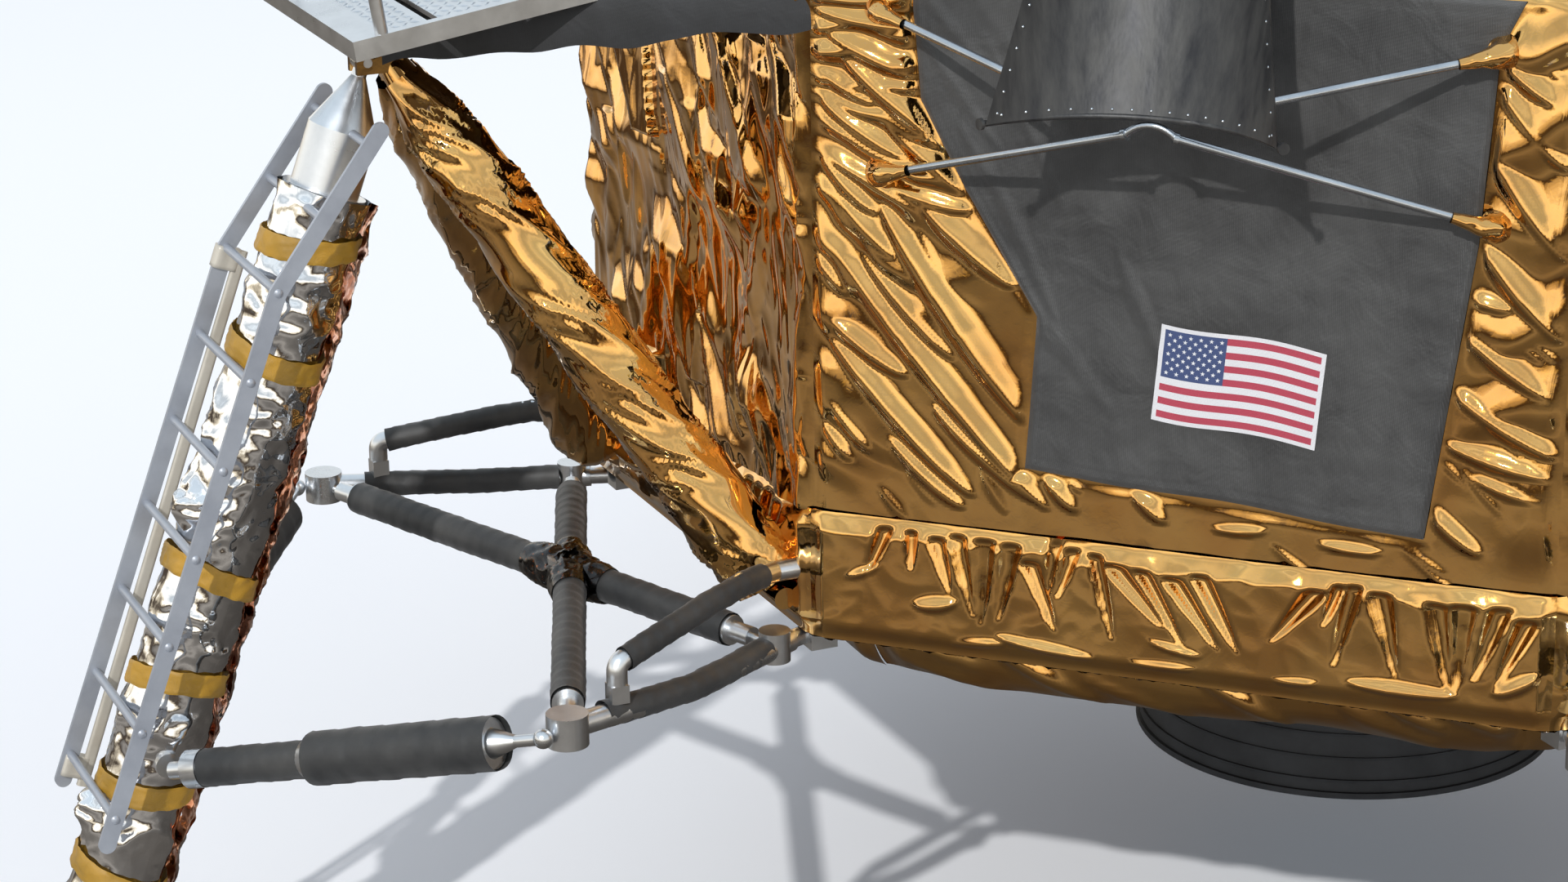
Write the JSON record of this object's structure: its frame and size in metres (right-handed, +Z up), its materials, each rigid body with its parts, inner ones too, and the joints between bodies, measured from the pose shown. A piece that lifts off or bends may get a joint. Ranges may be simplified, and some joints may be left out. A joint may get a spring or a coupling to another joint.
{
  "type": "lunar lander",
  "caption": "Two-stage crewed lunar lander on four splayed legs: foil-covered octagonal descent body with engine bell, porch and ladder, under a crew cabin with hatches, thrusters and antennas.",
  "frame": {"origin": "on the ground under the middle of the vehicle, on its upright axis", "axes": "+Z up; forward, with the ladder and front hatch, is -Y; port, the crew's left, is +X"},
  "size_m": [9.0596, 9.0596, 6.985],
  "materials": {
    "gold_foil": "crinkled metallised film",
    "black_blanket": "matte black blanket",
    "charcoal_blanket": "satin charcoal blanket",
    "woven_patch": "woven cloth, striped",
    "aluminium": "satin",
    "strut_wrap": "tape-wrapped charcoal",
    "heat_shield": "smooth gunmetal, streaked",
    "titanium": "brushed",
    "nozzle": "matte charcoal",
    "cabin_skin": "matte sheet with riveted joints",
    "window_glass": "clear with a dark tint",
    "thruster_metal": "satin grey",
    "antenna_white": "satin white",
    "hatch_skin": "satin",
    "silver_wrap": "crinkled silver film",
    "bay_skin": "matte black panels",
    "amber_tape": "amber fibre tape",
    "copper_film": "crinkled copper film",
    "black_film": "crumpled black film",
    "beige_bar": "pale coated metal"
  },
  "bodies": {
    "root": {"descent_body": "gold_foil", "base_pan": "gold_foil", "landing_radar": "bay_skin", "engine_mounts": "titanium", "footpads": "aluminium", "secondary_struts": "strut_wrap", "truss_arms": "strut_wrap", "truss_braces": "strut_wrap", "truss_foot_blocks": "aluminium", "outrigger_covers": "black_blanket", "porch": "aluminium", "porch_rails": "aluminium", "ladder": "aluminium", "plume_deflectors": "heat_shield", "deflector_struts": "aluminium", "face_blankets": "charcoal_blanket", "flag_patch": "woven_patch", "primary_strut_forward": "silver_wrap", "outrigger_forward": "gold_foil", "primary_strut_port": "silver_wrap", "outrigger_port": "gold_foil", "primary_strut_aft": "silver_wrap", "outrigger_aft": "gold_foil", "primary_strut_starboard": "silver_wrap", "outrigger_starboard": "gold_foil", "interstage_posts": "titanium", "ascent_engine": "nozzle", "cabin": "cabin_skin", "window_panes": "window_glass", "middle_section": "cabin_skin", "docking_tunnel": "cabin_skin", "docking_ring": "aluminium", "aft_bay": "bay_skin", "tank_housing_port": "cabin_skin", "tank_housing_starboard": "cabin_skin", "thruster_clusters": "thruster_metal", "thruster_booms": "titanium", "radar_mast": "aluminium", "antenna_mast": "aluminium", "fixed_antennas": "aluminium"},
    "gimbal_ring": {"gimbal_ring": "titanium"},
    "engine_bell": {"engine_bell": "nozzle"},
    "front_hatch": {"front_hatch": "hatch_skin"},
    "top_hatch": {"top_hatch": "hatch_skin"},
    "radar_yoke": {"radar_yoke": "aluminium"},
    "radar_dish": {"radar_dish": "antenna_white"},
    "antenna_yoke": {"antenna_yoke": "aluminium"},
    "antenna_dish": {"antenna_dish": "antenna_white"}
  },
  "joints": [
    {"name": "engine_pitch", "type": "hinge", "parent": "root", "child": "gimbal_ring", "pos_m": [0, 0, 2.2], "axis": [1, 0, 0], "range_deg": [-6, 6]},
    {"name": "engine_roll", "type": "hinge", "parent": "gimbal_ring", "child": "engine_bell", "pos_m": [0, 0, 2.2], "axis": [0, 1, 0], "range_deg": [-6, 6]},
    {"name": "front_hatch_hinge", "type": "hinge", "parent": "root", "child": "front_hatch", "pos_m": [-0.47, -1.88, 3.97], "axis": [0, 0, 1], "range_deg": [0, 90]},
    {"name": "top_hatch_hinge", "type": "hinge", "parent": "root", "child": "top_hatch", "pos_m": [0, 0.47, 5.405], "axis": [1, 0, 0], "range_deg": [0, 75]},
    {"name": "radar_shaft", "type": "hinge", "parent": "root", "child": "radar_yoke", "pos_m": [0, -1.48, 6.6], "axis": [-1, 0, 0], "range_deg": [-70, 59]},
    {"name": "radar_trunnion", "type": "hinge", "parent": "radar_yoke", "child": "radar_dish", "pos_m": [0, -1.63, 6.6], "axis": [0, 0, 1], "range_deg": [-55, 55]},
    {"name": "antenna_pitch", "type": "hinge", "parent": "root", "child": "antenna_yoke", "pos_m": [-1.5, -0.15, 5.95], "axis": [-1, 0, 0], "range_deg": [-75, 255]},
    {"name": "antenna_yaw", "type": "hinge", "parent": "antenna_yoke", "child": "antenna_dish", "pos_m": [-2.03, -0.15, 5.95], "axis": [0, 0, 1], "range_deg": [-75, 75]}
  ]
}
